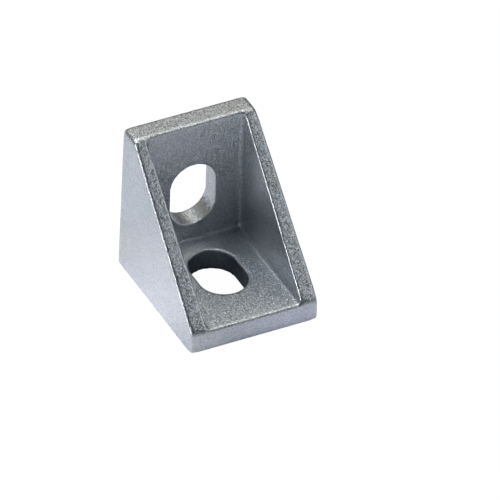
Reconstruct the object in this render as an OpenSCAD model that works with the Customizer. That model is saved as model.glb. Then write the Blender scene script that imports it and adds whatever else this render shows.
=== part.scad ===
// Cast corner bracket for slotted framing profile: a base leg and a back leg at a right angle, tied by
// two triangular side walls, with one oblong screw slot through each leg.
// Origin at the middle of the underside, +X across the width, +Y towards the back leg, +Z up.

/* [Overall] */
// Width across the side walls at the underside
width = 17; // [15:0.5:24]
// Depth from the front of the base leg to the mounting face of the back leg
depth = 20; // [18:0.5:30]
// Height from the underside to the top of the back leg
height = 20; // [18:0.5:30]

/* [Walls] */
// Thickness of the base leg
base_t = 2.9; // [2:0.1:4]
// Thickness of the back leg
back_t = 2.9; // [2:0.1:4]
// Thickness of each side wall at the floor of the pocket
wall_t = 2.2; // [1.4:0.1:2.6]
// Taper of the side walls, inside and out, that lets the casting leave its mould, in degrees
draft = 1; // [0:0.25:1.25]

/* [Screw slots] */
// Width of both slots, which clears an M5 screw
slot_w = 6; // [4:0.1:7]
// End-to-end length of both slots
slot_l = 8.8; // [7.5:0.1:10]
// Distance from the back mounting face to the middle of the base leg's slot
base_slot_out = 10; // [9:0.1:12]
// Height of the middle of the back leg's slot above the underside
back_slot_up = 9.5; // [9:0.1:12]

/* [Rounding] */
// Radius of the back leg's two top corners, seen from the front
corner_r = 0.4; // [0.3:0.1:3]
// Radius of the base leg's two front corners, seen from above
front_corner_r = 0.3; // [0.2:0.1:2]
// Radius where the sloping rims turn into the top face and into the front face
rim_turn_r = 1.2; // [0.4:0.1:1.8]
// Radius of the sloping rims' outer edges
rim_edge_r = 0.3; // [0.1:0.05:0.5]
// Radius of the other outside edges
edge_r = 0.3; // [0.1:0.05:0.8]
// Radius of the pocket's inside corners
pocket_r = 0.5; // [0.3:0.1:1.2]

/* [Hidden] */
$fn = 96;
// How far cutting shapes run past the casting
past = 4;
// How far a rounding arc lies inside its outline, so that two rounded faces never meet along a tangent line
arc_inset = 0.003;
// Half the width of the casting at a height above the underside
function half_width(z) = width / 2 - z * tan(draft);
// Half the width of the pocket at a height above the underside
function half_pocket(z) = half_width(base_t) - wall_t + (z - base_t) * tan(draft);
back_y = depth / 2;
front_y = -depth / 2;
pocket_back_y = back_y - back_t;
over_z = height + past;
// Angle of the sloping rims above the ground
rim_angle = atan2(height - base_t, pocket_back_y - front_y);
// How far a rim's outer edge turns inwards on its way up, seen square on to the rim
rim_lean = atan(tan(draft) * sin(rim_angle));
// How far the side face under that edge leans from square to the rim
rim_splay = asin(sin(draft) * cos(rim_angle));

function unit(v) = v / norm(v);
// Unit vectors from corner i of an outline to the corners before and after it
function arms(p, i) = [unit(p[(i + len(p) - 1) % len(p)] - p[i]), unit(p[(i + 1) % len(p)] - p[i])];
function half_angle(a) = acos(a[0] * a[1]) / 2;
// The two points where a circle of radius r touches the sides that meet at corner i
function touch_points(p, i, r) =
    let (a = arms(p, i), run = r / tan(half_angle(a)))
    [p[i] + a[0] * run, p[i] + a[1] * run];
// The middle of that circle
function circle_centre(p, i, r) =
    let (a = arms(p, i))
    p[i] + unit(a[0] + a[1]) * r / sin(half_angle(a));

// An outline through corners p, each rounded by its own radius, where 0 leaves it sharp
module rounded_outline(p, radii) {
    polygon([
        for (i = [0 : len(p) - 1])
            each (radii[i] > 0 ? touch_points(p, i, radii[i]) : [p[i]])
    ]);
    for (i = [0 : len(p) - 1])
        if (radii[i] > 0)
            translate(circle_centre(p, i, radii[i])) circle(r = radii[i] - arc_inset);
}

// Turns an outline drawn in depth and height into a bar that runs across the width
module across_width(length) {
    rotate([90, 0, 90]) linear_extrude(height = length, center = true) children();
}

// Turns an outline drawn in width and height into a bar that runs from front to back
module front_to_back(length) {
    rotate([90, 0, 0]) linear_extrude(height = length, center = true) children();
}

// What rounding a corner by radius r takes off, as a bar that stands on the ground
module corner_sliver(r) {
    translate([0, 0, -past])
        linear_extrude(height = over_z + 2 * past)
            difference() {
                translate([-r, -r]) square(r + past);
                translate([-r, -r]) circle(r = r);
            }
}

// The casting's outside before its edges are softened: legs and side walls in one solid
module outside() {
    intersection() {
        across_width(width + 2 * past)
            rounded_outline(
                [
                    [front_y, 0],
                    [back_y, 0],
                    [back_y, height],
                    [pocket_back_y, height],
                    [front_y, base_t]
                ],
                [edge_r, edge_r, edge_r, rim_turn_r, rim_turn_r]
            );
        front_to_back(depth + 2 * past)
            rounded_outline(
                [
                    [-half_width(0), 0],
                    [half_width(0), 0],
                    [half_width(height), height],
                    [-half_width(height), height]
                ],
                [edge_r, edge_r, corner_r, corner_r]
            );
    }
}

// Takes the sharp edge off the four upright corners, which lean in with the side walls
module upright_edges() {
    for (right = [0, 1], back = [false, true])
        mirror([1 - right, 0, 0])
            mirror([0, back ? 0 : 1, 0])
                translate([half_width(0), back_y, 0])
                    rotate([0, -draft, 0])
                        corner_sliver(back ? edge_r : front_corner_r);
}

// What rounding the edge between a level face and a side face that leans out by splay takes off, as a
// bar along +Y whose edge is the Y axis
module edge_sliver(r, splay, length) {
    p = [[-past, 0], [0, 0], [past * sin(splay), -past * cos(splay)]];
    ends = touch_points(p, 1, r);
    middle = circle_centre(p, 1, r);
    rotate([90, 0, 0])
        translate([0, 0, -length])
            linear_extrude(height = length)
                difference() {
                    polygon([
                        ends[0], ends[0] + [0, past], [past, past], [past, ends[1].y], ends[1], middle
                    ]);
                    translate(middle) circle(r = r + arc_inset);
                }
}

// Takes the sharp edge off the outer edges of the two sloping rims
module rim_edges() {
    for (right = [0, 1])
        mirror([1 - right, 0, 0])
            translate([half_width(base_t), front_y, base_t])
                rotate([rim_angle, 0, 0])
                    rotate([0, 0, rim_lean])
                        translate([0, -past, 0])
                            edge_sliver(rim_edge_r, rim_splay, norm([depth, height]) + past);
}

// The space between the side walls, open to the front and the top
module pocket() {
    difference() {
        intersection() {
            across_width(width)
                rounded_outline(
                    [
                        [front_y - past, base_t],
                        [pocket_back_y, base_t],
                        [pocket_back_y, over_z],
                        [front_y - past, over_z]
                    ],
                    [0, pocket_r, 0, 0]
                );
            front_to_back(depth + 4 * past)
                rounded_outline(
                    [
                        [-half_pocket(base_t), base_t],
                        [half_pocket(base_t), base_t],
                        [half_pocket(over_z), over_z],
                        [-half_pocket(over_z), over_z]
                    ],
                    [pocket_r, pocket_r, 0, 0]
                );
        }
        for (right = [0, 1])
            mirror([1 - right, 0, 0])
                translate([half_pocket(0), pocket_back_y, 0])
                    rotate([0, draft, 0])
                        corner_sliver(pocket_r);
    }
}

// An oblong hole of the slots' size along +Y, centred on the origin and cut along Z
module slot(through) {
    reach = (slot_l - slot_w) / 2;
    for (end = [-1, 1])
        translate([0, end * reach, 0]) cylinder(d = slot_w, h = through, center = true);
    cube([slot_w, 2 * reach, through], center = true);
}

module base_slot() {
    translate([0, back_y - base_slot_out, base_t / 2]) slot(base_t + past);
}

module back_slot() {
    translate([0, back_y - back_t / 2, back_slot_up]) rotate([90, 0, 0]) slot(back_t + past);
}

module bracket() {
    color("silver")
        difference() {
            outside();
            upright_edges();
            rim_edges();
            pocket();
            base_slot();
            back_slot();
        }
}

bracket();
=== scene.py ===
"""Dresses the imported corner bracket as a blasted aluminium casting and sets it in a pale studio."""

import math

import bmesh
import bpy
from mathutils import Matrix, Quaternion, Vector


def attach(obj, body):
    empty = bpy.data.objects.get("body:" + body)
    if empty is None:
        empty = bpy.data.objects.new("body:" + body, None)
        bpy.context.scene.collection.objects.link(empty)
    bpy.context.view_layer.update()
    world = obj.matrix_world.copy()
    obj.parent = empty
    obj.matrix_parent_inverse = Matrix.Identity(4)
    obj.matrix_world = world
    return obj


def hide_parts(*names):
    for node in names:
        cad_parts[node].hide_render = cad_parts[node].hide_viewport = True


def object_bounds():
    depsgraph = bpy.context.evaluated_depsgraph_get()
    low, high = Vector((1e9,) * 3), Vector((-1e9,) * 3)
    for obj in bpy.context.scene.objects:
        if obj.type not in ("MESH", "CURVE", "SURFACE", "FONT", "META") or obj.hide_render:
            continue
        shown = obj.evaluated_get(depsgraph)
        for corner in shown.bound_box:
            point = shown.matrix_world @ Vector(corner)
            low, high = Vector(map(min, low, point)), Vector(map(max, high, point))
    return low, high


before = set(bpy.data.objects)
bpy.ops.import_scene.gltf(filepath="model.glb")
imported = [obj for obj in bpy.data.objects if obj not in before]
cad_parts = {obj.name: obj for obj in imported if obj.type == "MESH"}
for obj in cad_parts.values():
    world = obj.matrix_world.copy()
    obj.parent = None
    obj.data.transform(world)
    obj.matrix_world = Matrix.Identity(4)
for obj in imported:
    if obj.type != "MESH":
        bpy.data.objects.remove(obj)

bl_info = {
    "name": "Cast Corner Bracket",
    "version": (1, 0, 0),
    "blender": (4, 5, 0),
    "location": "View3D > Sidebar > Bracket",
    "description": "Dresses a corner bracket as a blasted aluminium casting and lights it",
    "category": "Object",
}

CAD_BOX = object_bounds()
MM = 0.001

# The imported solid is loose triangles: corners closer than this are one
SAME_CORNER = 0.001 * MM
# How far each pass of tumbling moves a point of the mesh towards the middle of its neighbours
TUMBLING_SHARE = 0.5
# How softly the dents run into each other
DENT_SOFTNESS = 0.6
# Name of the mesh attribute that tells how far each place is rubbed bare
EDGE_WEAR = "edge_wear"

# Width of the slow changes of tone that the melt leaves in the metal
CLOUD_WIDTH = 4 * MM
# How much light the darkest and the lightest mark of the shot throw back, against the metal's own tone
MARK_SHADES = (0.8, 1.18)
# The roughness of the sharpest and of the dullest mark, and that of the rubbed edges
MARK_ROUGHNESS = (0.34, 0.44)
WORN_ROUGHNESS = 0.2
# How much of the marks' lean is left where the tumbling has rubbed them
WORN_LEAN = 0.6

# The paper, in metres: its radius, how far it lies under the bracket, and the width and height of its tooth
FLOOR_RADIUS = 4
FLOOR_SEGMENTS = 96
FLOOR_GAP = 0.02 * MM
TOOTH_WIDTH = 0.8 * MM
TOOTH_HEIGHT = 0.02 * MM
# How brightly the paper is lit out, and how much of that the camera sees over its own shading
PAPER_WHITE = 1.06
WHITE_SHARE = 0.93
# Painted shade: the paper is dark under the bracket in place of the shadow there, whole out to the first
# radius and faded into the paper by the second
PAINTED_SHADE_FROM, PAINTED_SHADE_TO = 5 * MM, 8 * MM
# Rings of the paper round the bracket's middle, which glow with painted light: where each begins, is full,
# fades and ends
NEAR_RING = (6 * MM, 9 * MM, 18 * MM, 24 * MM)
WIDE_RING = (18 * MM, 24 * MM, 45 * MM, 60 * MM)
# The glows: degrees round from +X, ring, brightness, colour
FLOOR_GLOWS = (
    (135, NEAR_RING, 0.11, "#F5E8FF"),
    (180, NEAR_RING, 0.47, "#FEFAFF"),
    (-45, NEAR_RING, 0.15, "#CFC8FF"),
    (135, WIDE_RING, 0.33, "#ECF0FF"),
)
# The power of the cosine with which a glow fades to its sides
GLOW_FALLOFF = 2.0

# The soft boxes: name, degrees round from +X, degrees up, width and height in metres, degrees that the box
# is turned about its own axis, brightness, colour
LAMPS = (
    ("front_soft_box", -36, 35, 0.55, 0.55, 0, 1.0, "#F8FDFF"),
    ("warm_soft_box", 55, 61, 0.8, 0.8, 0, 0.87, "#FFF9EC"),
    ("low_back_soft_box", 112, 24, 0.9, 0.8, 0, 0.28, "#FFFAE2"),
    ("top_soft_box", 120, 75, 0.4, 0.4, 0, 4.3, "#E6F0FF"),
    ("edge_strip_box", -167, 18, 0.7, 0.18, 39, 6.0, "#FFFFFF"),
)
LAMP_DISTANCE = 0.9
LAMP_AIM = (0, 0, 8 * MM)

PICTURE_PX = 500
SENSOR_MM = 36.0
# The nearest and the farthest that the camera sees, in metres
SEEN_FROM, SEEN_TO = 0.01, 20


def linear(hex_colour):
    """An sRGB colour written as #RRGGBB, as linear red, green, blue and full alpha."""
    channels = [int(hex_colour[i : i + 2], 16) / 255 for i in (1, 3, 5)]
    return [c / 12.92 if c <= 0.04045 else ((c + 0.055) / 1.055) ** 2.4 for c in channels] + [1.0]


def length_property(name, description, default_mm, low_mm, high_mm):
    """A length that the sidebar shows in the scene's unit, from values in millimetres."""
    return bpy.props.FloatProperty(
        name=name,
        description=description,
        default=default_mm * MM,
        min=low_mm * MM,
        max=high_mm * MM,
        precision=5,
        unit="LENGTH",
        subtype="DISTANCE",
    )


def angle_property(name, description, default_degrees):
    """An angle, from a value in degrees."""
    return bpy.props.FloatProperty(
        name=name,
        description=description,
        default=math.radians(default_degrees),
        unit="ROTATION",
        subtype="ANGLE",
    )


def colour_property(name, description, hex_colour):
    """A colour, from its sRGB hex value."""
    return bpy.props.FloatVectorProperty(
        name=name,
        description=description,
        default=linear(hex_colour),
        size=4,
        min=0,
        max=1,
        subtype="COLOR",
    )


class CastingSettings(bpy.types.PropertyGroup):
    """The sizes and colours of the casting's skin."""

    mesh_step: length_property("Mesh step", "Spacing of the mesh that carries the skin", 0.155, 0.14, 0.4)
    edge_passes: bpy.props.IntProperty(
        name="Edge passes", description="How often the tumbled edges are smoothed", default=5, min=0, max=30
    )
    corner_passes: bpy.props.IntProperty(
        name="Corner passes", description="How often corners are smoothed further", default=8, min=0, max=60
    )
    corner_reach: length_property("Corner reach", "How far from a corner that fades in", 1.2, 0.2, 3)
    wave_height: length_property("Wave height", "Height of the cast skin's slow unevenness", 0.012, 0, 0.1)
    wave_length: length_property("Wave length", "Width of one hump of that unevenness", 1.6, 0.3, 8)
    dent_depth: length_property("Dent depth", "Depth of the shallow dents of the blasting", 0.003, 0, 0.1)
    dent_width: length_property("Dent width", "Width of one such dent", 0.4, 0.2, 2)
    mark_width: length_property("Mark width", "Width of the small mark of one shot", 0.12, 0.05, 1)
    mark_height: length_property("Mark height", "Height of the roughness between such marks", 0.01, 0, 0.2)
    mark_lean: bpy.props.FloatProperty(
        name="Mark lean", description="How far the flats of such marks lean each way", default=0.29, min=0
    )
    wear_from: angle_property("Wear from", "Turn of the face between two mesh edges where wear begins", 9)
    wear_to: angle_property("Wear to", "Turn of the face where wear is full", 34)
    dark_metal: colour_property("Dark metal", "The darker tone of the blasted skin", "#D2D7DC")
    light_metal: colour_property("Light metal", "The lighter tone of the blasted skin", "#E2E7EC")
    worn_metal: colour_property("Worn metal", "The bare metal of the rubbed edges", "#ECEFF2")
    seed: bpy.props.IntProperty(name="Seed", description="Picks the pattern of humps and dents", default=4)


class StudioSettings(bpy.types.PropertyGroup):
    """The camera's place and lens, and the studio's walls."""

    azimuth: angle_property("Azimuth", "Way round the bracket that the camera stands", -27.341)
    elevation: angle_property("Elevation", "Height of the camera above the floor", 37.492)
    roll: angle_property("Roll", "Turn of the camera about its own view", 1.761)
    distance: length_property("Distance", "From the camera to the point it looks at", 1286.452, 100, 5000)
    focal_length: bpy.props.FloatProperty(
        name="Focal length", description="Of the lens, in pixels of the picture", default=10748.422, min=100
    )
    aim: bpy.props.FloatVectorProperty(
        name="Aim",
        description="The point that the camera looks at",
        default=(4.204 * MM, 0, 4.807 * MM),
        unit="LENGTH",
        subtype="TRANSLATION",
    )
    wall_colour: colour_property("Wall colour", "Of the studio around the lamps", "#FBFBF8")
    wall_brightness: bpy.props.FloatProperty(
        name="Wall brightness", description="Of those walls, 0 in a dark studio", default=0.0, min=0
    )


def socket(sockets, name):
    """The socket of that name that the node's settings have switched on."""
    return next(s for s in sockets if s.enabled and s.name == name)


def add_node(tree, kind, inputs=None, **settings):
    """Adds a node with its settings, and fills each input with a value or links it to an output."""
    node = tree.nodes.new(kind)
    for name, value in settings.items():
        setattr(node, name, value)
    for name, value in (inputs or {}).items():
        target = node.inputs[name] if isinstance(name, int) else socket(node.inputs, name)
        if isinstance(value, bpy.types.NodeSocket):
            tree.links.new(value, target)
        else:
            target.default_value = value
    return node


def new_material(name):
    """An empty node material and its tree."""
    material = bpy.data.materials.new(name)
    material.use_nodes = True
    material.node_tree.nodes.clear()
    return material, material.node_tree


def blasted_aluminium(skin):
    """Die-cast aluminium, blasted with fine shot: a dull blue-grey metal whose small marks glint one by one,
    rubbed brighter along its edges by the tumbling."""
    material, tree = new_material("blasted_cast_aluminium")
    place = add_node(tree, "ShaderNodeTexCoord").outputs["Object"]

    # The melt's own slow changes of tone
    clouds = add_node(tree, "ShaderNodeTexNoise", {"Vector": place, "Scale": 1 / CLOUD_WIDTH, "Detail": 4.0})
    tone = add_node(
        tree,
        "ShaderNodeMix",
        {"Factor": clouds.outputs["Fac"], "A": skin.dark_metal, "B": skin.light_metal},
        data_type="RGBA",
    )

    # Fine shot leaves marks of about 0.05 mm, too fine to show, so they are drawn wider, about one dot of the
    # picture each. Each takes the light its own way
    marks = add_node(tree, "ShaderNodeTexVoronoi", {"Vector": place, "Scale": 1 / skin.mark_width})
    chance = add_node(tree, "ShaderNodeSeparateColor", {"Color": marks.outputs["Color"]})
    darkest, lightest = MARK_SHADES
    shade = add_node(
        tree, "ShaderNodeMapRange", {"Value": chance.outputs["Green"], "To Min": darkest, "To Max": lightest}
    )
    marked = add_node(
        tree,
        "ShaderNodeVectorMath",
        {0: socket(tone.outputs, "Result"), "Scale": shade.outputs["Result"]},
        operation="SCALE",
    )
    sharpest, dullest = MARK_ROUGHNESS
    roughness = add_node(
        tree, "ShaderNodeMapRange", {"Value": chance.outputs["Blue"], "To Min": sharpest, "To Max": dullest}
    )

    # Tumbled edges are bare, bright metal
    worn = add_node(tree, "ShaderNodeAttribute", attribute_name=EDGE_WEAR).outputs["Fac"]
    rubbed = add_node(
        tree,
        "ShaderNodeMix",
        {"Factor": worn, "A": marked.outputs["Vector"], "B": skin.worn_metal},
        data_type="RGBA",
    )
    sheen = add_node(
        tree,
        "ShaderNodeMix",
        {"Factor": worn, "A": roughness.outputs["Result"], "B": WORN_ROUGHNESS},
        data_type="FLOAT",
    )

    # The marks' own relief, which is too fine for the mesh: each is a small flat that leans its own way
    relief = add_node(
        tree,
        "ShaderNodeTexNoise",
        {"Vector": place, "Scale": 1 / skin.mark_width, "Detail": 1.0, "Roughness": 0.5},
    )
    bump = add_node(
        tree,
        "ShaderNodeBump",
        {"Strength": 1.0, "Distance": skin.mark_height, "Height": relief.outputs["Fac"]},
    )
    lean = add_node(
        tree,
        "ShaderNodeVectorMath",
        {0: marks.outputs["Color"], 1: (0.5, 0.5, 0.5)},
        operation="SUBTRACT",
    )
    # The tumbling has smoothed part of that away along the edges
    tilt = add_node(
        tree,
        "ShaderNodeMapRange",
        {"Value": worn, "To Min": skin.mark_lean, "To Max": WORN_LEAN * skin.mark_lean},
    )
    tilted = add_node(
        tree,
        "ShaderNodeVectorMath",
        {0: lean.outputs["Vector"], "Scale": tilt.outputs["Result"]},
        operation="SCALE",
    )
    leaning = add_node(
        tree,
        "ShaderNodeVectorMath",
        {0: tilted.outputs["Vector"], 1: bump.outputs["Normal"]},
        operation="ADD",
    )
    facing = add_node(tree, "ShaderNodeVectorMath", {0: leaning.outputs["Vector"]}, operation="NORMALIZE")

    metal = add_node(
        tree,
        "ShaderNodeBsdfPrincipled",
        {
            "Metallic": 1.0,
            "Base Color": socket(rubbed.outputs, "Result"),
            "Roughness": socket(sheen.outputs, "Result"),
            "Normal": facing.outputs["Vector"],
        },
    )
    add_node(tree, "ShaderNodeOutputMaterial", {"Surface": metal.outputs["BSDF"]})
    return material


def backdrop_paper():
    """Matt white studio paper. It glows round the bracket with painted light of its own, most of all on the
    bracket's left and behind it, and carries painted shade under the bracket; the camera sees it lit out to
    white, so that only a faint shadow is left."""
    material, tree = new_material("matt_backdrop_paper")
    place = add_node(tree, "ShaderNodeTexCoord").outputs["Object"]
    tooth = add_node(tree, "ShaderNodeTexNoise", {"Vector": place, "Scale": 1 / TOOTH_WIDTH, "Detail": 4.0})
    bump = add_node(
        tree, "ShaderNodeBump", {"Strength": 0.1, "Distance": TOOTH_HEIGHT, "Height": tooth.outputs["Fac"]}
    )
    far = add_node(tree, "ShaderNodeVectorMath", {0: place}, operation="LENGTH").outputs["Value"]

    def fade(start, end, first, last):
        """A value that goes from first to last between two distances from the bracket's middle."""
        return add_node(
            tree,
            "ShaderNodeMapRange",
            {"Value": far, "From Min": start, "From Max": end, "To Min": first, "To Max": last},
            interpolation_type="SMOOTHSTEP",
        ).outputs["Result"]

    # Painted shade: the paper is dark under the bracket in place of the shadow there, which keeps the insides
    # of the lower slot dark
    sheet = add_node(
        tree,
        "ShaderNodeMix",
        {"Factor": fade(PAINTED_SHADE_FROM, PAINTED_SHADE_TO, 0.0, 1.0), "A": linear("#54585C"), "B": linear("#F4F5F6")},
        data_type="RGBA",
    )
    paper = add_node(
        tree,
        "ShaderNodeBsdfPrincipled",
        {"Base Color": socket(sheet.outputs, "Result"), "Roughness": 0.9, "Normal": bump.outputs["Normal"]},
    )

    way = add_node(tree, "ShaderNodeVectorMath", {0: place}, operation="NORMALIZE").outputs["Vector"]
    glowing = paper.outputs["BSDF"]
    # Each glow is painted light: the paper gives it off though it is no lamp, and the bracket's faces reflect
    # it
    for azimuth, ring, brightness, colour in FLOOR_GLOWS:
        towards = (math.cos(math.radians(azimuth)), math.sin(math.radians(azimuth)), 0)
        turned = add_node(tree, "ShaderNodeVectorMath", {0: way, 1: towards}, operation="DOT_PRODUCT")
        ahead = add_node(tree, "ShaderNodeMath", {0: turned.outputs["Value"], 1: 0.0}, operation="MAXIMUM")
        beam = add_node(
            tree, "ShaderNodeMath", {0: ahead.outputs["Value"], 1: GLOW_FALLOFF}, operation="POWER"
        )
        begins, full, fades, ends = ring
        rising = fade(begins, full, 0.0, brightness)
        falling = fade(fades, ends, 1.0, 0.0)
        band = add_node(tree, "ShaderNodeMath", {0: rising, 1: falling}, operation="MULTIPLY")
        level = add_node(
            tree, "ShaderNodeMath", {0: beam.outputs["Value"], 1: band.outputs["Value"]}, operation="MULTIPLY"
        )
        glow = add_node(
            tree, "ShaderNodeEmission", {"Color": linear(colour), "Strength": level.outputs["Value"]}
        )
        glowing = add_node(
            tree, "ShaderNodeAddShader", {0: glowing, 1: glow.outputs["Emission"]}
        ).outputs["Shader"]

    white = add_node(tree, "ShaderNodeEmission", {"Color": linear("#FFFFFF"), "Strength": PAPER_WHITE})
    seen = add_node(tree, "ShaderNodeLightPath").outputs["Is Camera Ray"]
    share = add_node(tree, "ShaderNodeMath", {0: seen, 1: WHITE_SHARE}, operation="MULTIPLY")
    mix = add_node(
        tree,
        "ShaderNodeMixShader",
        {0: share.outputs["Value"], 1: glowing, 2: white.outputs["Emission"]},
    )
    add_node(tree, "ShaderNodeOutputMaterial", {"Surface": mix.outputs["Shader"]})
    return material


def skin_tree(skin, material):
    """A geometry tree that gives a mesh a cast skin: tumbled corners, slow humps, the shallow dents of the
    blasting and a mark of how far each place is worn. Comes with the value of each of its inputs."""
    tree = bpy.data.node_groups.new("cast_skin", "GeometryNodeTree")
    tree.is_modifier = True
    tree.interface.new_socket("Geometry", in_out="INPUT", socket_type="NodeSocketGeometry")
    sizes = {}
    for name, kind, subtype, value in (
        ("Corner reach", "NodeSocketFloat", "DISTANCE", skin.corner_reach),
        ("Wave height", "NodeSocketFloat", "DISTANCE", skin.wave_height),
        ("Wave length", "NodeSocketFloat", "DISTANCE", skin.wave_length),
        ("Dent depth", "NodeSocketFloat", "DISTANCE", skin.dent_depth),
        ("Dent width", "NodeSocketFloat", "DISTANCE", skin.dent_width),
        ("Wear from", "NodeSocketFloat", "ANGLE", skin.wear_from),
        ("Wear to", "NodeSocketFloat", "ANGLE", skin.wear_to),
        ("Corner passes", "NodeSocketInt", "NONE", skin.corner_passes),
        ("Seed", "NodeSocketInt", "NONE", skin.seed),
    ):
        item = tree.interface.new_socket(name, in_out="INPUT", socket_type=kind)
        item.subtype = subtype
        sizes[item.identifier] = value
    tree.interface.new_socket("Geometry", in_out="OUTPUT", socket_type="NodeSocketGeometry")

    given = add_node(tree, "NodeGroupInput").outputs
    place = add_node(tree, "GeometryNodeInputPosition").outputs["Position"]
    outward = add_node(tree, "GeometryNodeInputNormal").outputs["Normal"]

    # Tumbling rounds the front corners of the base and the ends of the top further than the other edges
    across, deep, high = add_node(tree, "ShaderNodeSeparateXYZ", {"Vector": place}).outputs
    sideways = add_node(tree, "ShaderNodeMath", {0: across}, operation="ABSOLUTE").outputs["Value"]
    forwards = add_node(tree, "ShaderNodeMath", {0: deep, 1: -1.0}, operation="MULTIPLY").outputs["Value"]

    def nearness(distance, edge):
        """A value that goes from 0 to 1 as a distance comes within the corner reach of an edge."""
        start = add_node(tree, "ShaderNodeMath", {0: edge, 1: given["Corner reach"]}, operation="SUBTRACT")
        return add_node(
            tree,
            "ShaderNodeMapRange",
            {"Value": distance, "From Min": start.outputs["Value"], "From Max": edge},
            interpolation_type="SMOOTHSTEP",
        ).outputs["Result"]

    low, top = CAD_BOX
    ends = add_node(
        tree,
        "ShaderNodeMath",
        {0: nearness(forwards, -low[1]), 1: nearness(high, top[2])},
        operation="MAXIMUM",
    ).outputs["Value"]
    corner = add_node(
        tree, "ShaderNodeMath", {0: nearness(sideways, top[0]), 1: ends}, operation="MULTIPLY"
    ).outputs["Value"]
    rounded = add_node(
        tree,
        "GeometryNodeBlurAttribute",
        {"Value": place, "Iterations": given["Corner passes"], "Weight": corner},
        data_type="FLOAT_VECTOR",
    )
    tumbled = add_node(
        tree,
        "GeometryNodeSetPosition",
        {"Geometry": given["Geometry"], "Position": socket(rounded.outputs, "Value")},
    ).outputs["Geometry"]

    def per_length(name):
        """The scale of a pattern whose width is the input of that name."""
        return add_node(tree, "ShaderNodeMath", {0: 1.0, 1: given[name]}, operation="DIVIDE").outputs["Value"]

    waves = add_node(
        tree,
        "ShaderNodeTexNoise",
        {"Vector": place, "W": given["Seed"], "Scale": per_length("Wave length"), "Detail": 2.0},
        noise_dimensions="4D",
    )
    centred = add_node(tree, "ShaderNodeMath", {0: waves.outputs["Fac"], 1: 0.5}, operation="SUBTRACT")
    wave = add_node(
        tree, "ShaderNodeMath", {0: centred.outputs["Value"], 1: given["Wave height"]}, operation="MULTIPLY"
    )
    dents = add_node(
        tree,
        "ShaderNodeTexVoronoi",
        {
            "Vector": place,
            "W": given["Seed"],
            "Scale": per_length("Dent width"),
            "Smoothness": DENT_SOFTNESS,
        },
        voronoi_dimensions="4D",
        feature="SMOOTH_F1",
    )
    dented = add_node(
        tree,
        "ShaderNodeMath",
        {0: dents.outputs["Distance"], 1: given["Dent depth"], 2: wave.outputs["Value"]},
        operation="MULTIPLY_ADD",
    )
    # The dents' rims stay at the face and only their floors lie under it
    lowered = add_node(
        tree, "ShaderNodeMath", {0: dented.outputs["Value"], 1: given["Dent depth"]}, operation="SUBTRACT"
    )
    offset = add_node(
        tree, "ShaderNodeVectorMath", {0: outward, "Scale": lowered.outputs["Value"]}, operation="SCALE"
    )
    uneven = add_node(
        tree, "GeometryNodeSetPosition", {"Geometry": tumbled, "Offset": offset.outputs["Vector"]}
    )

    # How sharply the face turns outwards, spread over its neighbours, tells where tumbling has rubbed it
    turn = add_node(tree, "GeometryNodeInputMeshEdgeAngle").outputs["Signed Angle"]
    rubbed = add_node(
        tree,
        "ShaderNodeMapRange",
        {"Value": turn, "From Min": given["Wear from"], "From Max": given["Wear to"]},
    )
    spread = add_node(
        tree,
        "GeometryNodeBlurAttribute",
        {"Value": rubbed.outputs["Result"], "Iterations": 1},
        data_type="FLOAT",
    )
    worn = add_node(
        tree,
        "GeometryNodeStoreNamedAttribute",
        {
            "Geometry": uneven.outputs["Geometry"],
            "Name": EDGE_WEAR,
            "Value": socket(spread.outputs, "Value"),
        },
        data_type="FLOAT",
        domain="POINT",
    )
    smooth = add_node(tree, "GeometryNodeSetShadeSmooth", {"Geometry": worn.outputs["Geometry"]})
    real = add_node(tree, "GeometryNodeRealizeInstances", {"Geometry": smooth.outputs["Geometry"]})
    dressed = add_node(
        tree, "GeometryNodeSetMaterial", {"Geometry": real.outputs["Geometry"], "Material": material}
    )
    add_node(tree, "NodeGroupOutput", {"Geometry": dressed.outputs["Geometry"]})
    return tree, sizes


def settle(piece):
    """Works the piece's modifiers into its mesh."""
    depsgraph = bpy.context.evaluated_depsgraph_get()
    done = bpy.data.meshes.new_from_object(piece.evaluated_get(depsgraph), depsgraph=depsgraph)
    piece.modifiers.clear()
    piece.data = done


class BRACKET_OT_casting(bpy.types.Operator):
    """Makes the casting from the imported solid: soft edges, an uneven cast skin and a blasted finish"""

    bl_idname = "bracket.casting"
    bl_label = "Make the casting"

    def execute(self, context):
        skin = context.scene.bracket_casting
        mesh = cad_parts["bracket"].data.copy()
        mesh.name = "cast_bracket"
        mesh.materials.clear()
        solid = bmesh.new()
        solid.from_mesh(mesh)
        bmesh.ops.remove_doubles(solid, verts=solid.verts, dist=SAME_CORNER)
        solid.to_mesh(mesh)
        solid.free()
        casting = bpy.data.objects.new("cast_bracket", mesh)
        context.scene.collection.objects.link(casting)

        even = casting.modifiers.new("even_mesh", "REMESH")
        even.mode = "VOXEL"
        even.voxel_size = skin.mesh_step
        tumbled = casting.modifiers.new("tumbled_edges", "SMOOTH")
        tumbled.factor = TUMBLING_SHARE
        tumbled.iterations = skin.edge_passes
        tree, sizes = skin_tree(skin, blasted_aluminium(skin))
        cast_skin = casting.modifiers.new("cast_skin", "NODES")
        cast_skin.node_group = tree
        for identifier, value in sizes.items():
            cast_skin[identifier] = value
        settle(casting)

        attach(casting, "root")
        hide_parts("bracket")
        return {"FINISHED"}


def soft_box(name, place, width, height, turn, brightness, colour):
    """A soft box at a place, facing the bracket: its power follows from its size and brightness."""
    light = bpy.data.lights.new(name, "AREA")
    light.shape = "RECTANGLE"
    light.size = width
    light.size_y = height
    light.energy = brightness * math.pi * width * height
    light.color = linear(colour)[:3]
    lamp = bpy.data.objects.new(name, light)
    lamp.location = place
    lamp.rotation_mode = "QUATERNION"
    facing = (Vector(LAMP_AIM) - place).to_track_quat("-Z", "Y")
    lamp.rotation_quaternion = facing @ Quaternion((0, 0, 1), math.radians(turn))
    lamp.visible_camera = False
    bpy.context.scene.collection.objects.link(lamp)


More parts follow.
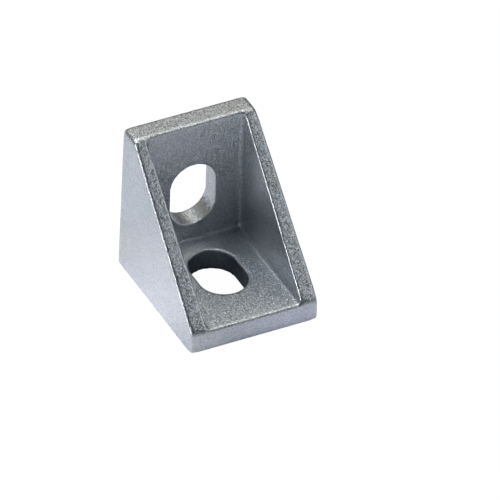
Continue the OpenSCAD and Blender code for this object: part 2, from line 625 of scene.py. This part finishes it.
def studio_world(studio):
    """The studio's walls, which are dark but which the camera sees as white."""
    world = bpy.data.worlds.new("studio_walls")
    world.use_nodes = True
    tree = world.node_tree
    tree.nodes.clear()
    walls = add_node(
        tree, "ShaderNodeBackground", {"Color": studio.wall_colour, "Strength": studio.wall_brightness}
    )
    paper = add_node(tree, "ShaderNodeBackground", {"Color": linear("#FFFFFF"), "Strength": 1.0})
    seen = add_node(tree, "ShaderNodeLightPath").outputs["Is Camera Ray"]
    mix = add_node(
        tree,
        "ShaderNodeMixShader",
        {0: seen, 1: walls.outputs["Background"], 2: paper.outputs["Background"]},
    )
    add_node(tree, "ShaderNodeOutputWorld", {"Surface": mix.outputs["Shader"]})
    return world


class BRACKET_OT_studio(bpy.types.Operator):
    """Sets up the pale floor, the soft light and the camera"""

    bl_idname = "bracket.studio"
    bl_label = "Set up the studio"

    def execute(self, context):
        scene = context.scene
        studio = scene.bracket_studio

        sheet = bpy.data.meshes.new("studio_floor")
        disc = bmesh.new()
        bmesh.ops.create_circle(disc, cap_ends=True, radius=FLOOR_RADIUS, segments=FLOOR_SEGMENTS)
        bmesh.ops.translate(disc, verts=disc.verts, vec=(0, 0, -FLOOR_GAP))
        disc.to_mesh(sheet)
        disc.free()
        sheet.materials.append(backdrop_paper())
        floor = bpy.data.objects.new("studio_floor", sheet)
        scene.collection.objects.link(floor)

        scene.world = studio_world(studio)
        for name, azimuth, rise, *box in LAMPS:
            round_by, lift = math.radians(azimuth), math.radians(rise)
            level = math.cos(lift)
            way = Vector((math.cos(round_by) * level, math.sin(round_by) * level, math.sin(lift)))
            soft_box(name, way * LAMP_DISTANCE, *box)

        away = Vector(
            (
                math.sin(studio.azimuth) * math.cos(studio.elevation),
                -math.cos(studio.azimuth) * math.cos(studio.elevation),
                math.sin(studio.elevation),
            )
        )
        lens = bpy.data.cameras.new("camera")
        lens.sensor_width = SENSOR_MM
        lens.lens = studio.focal_length / PICTURE_PX * SENSOR_MM
        lens.clip_start, lens.clip_end = SEEN_FROM, SEEN_TO
        camera = bpy.data.objects.new("camera", lens)
        camera.location = Vector(studio.aim) + away * studio.distance
        camera.rotation_mode = "QUATERNION"
        camera.rotation_quaternion = away.to_track_quat("Z", "Y") @ Quaternion((0, 0, 1), studio.roll)
        scene.collection.objects.link(camera)
        scene.camera = camera

        scene.view_settings.view_transform = "Standard"
        return {"FINISHED"}


class BRACKET_PT_sidebar(bpy.types.Panel):
    """Lists the steps that make the bracket, with their sizes and colours"""

    bl_idname = "BRACKET_PT_sidebar"
    bl_label = "Cast Corner Bracket"
    bl_space_type = "VIEW_3D"
    bl_region_type = "UI"
    bl_category = "Bracket"

    def draw(self, context):
        for operator, settings in (
            (BRACKET_OT_casting, context.scene.bracket_casting),
            (BRACKET_OT_studio, context.scene.bracket_studio),
        ):
            self.layout.operator(operator.bl_idname)
            column = self.layout.column()
            for name in type(settings).__annotations__:
                column.prop(settings, name)


CLASSES = (CastingSettings, StudioSettings, BRACKET_OT_casting, BRACKET_OT_studio, BRACKET_PT_sidebar)


def register():
    for cls in CLASSES:
        bpy.utils.register_class(cls)
    bpy.types.Scene.bracket_casting = bpy.props.PointerProperty(type=CastingSettings)
    bpy.types.Scene.bracket_studio = bpy.props.PointerProperty(type=StudioSettings)


def unregister():
    del bpy.types.Scene.bracket_studio
    del bpy.types.Scene.bracket_casting
    for cls in reversed(CLASSES):
        bpy.utils.unregister_class(cls)


def main():
    register()
    bpy.ops.bracket.casting()
    bpy.ops.bracket.studio()


if __name__ == "__main__":
    main()
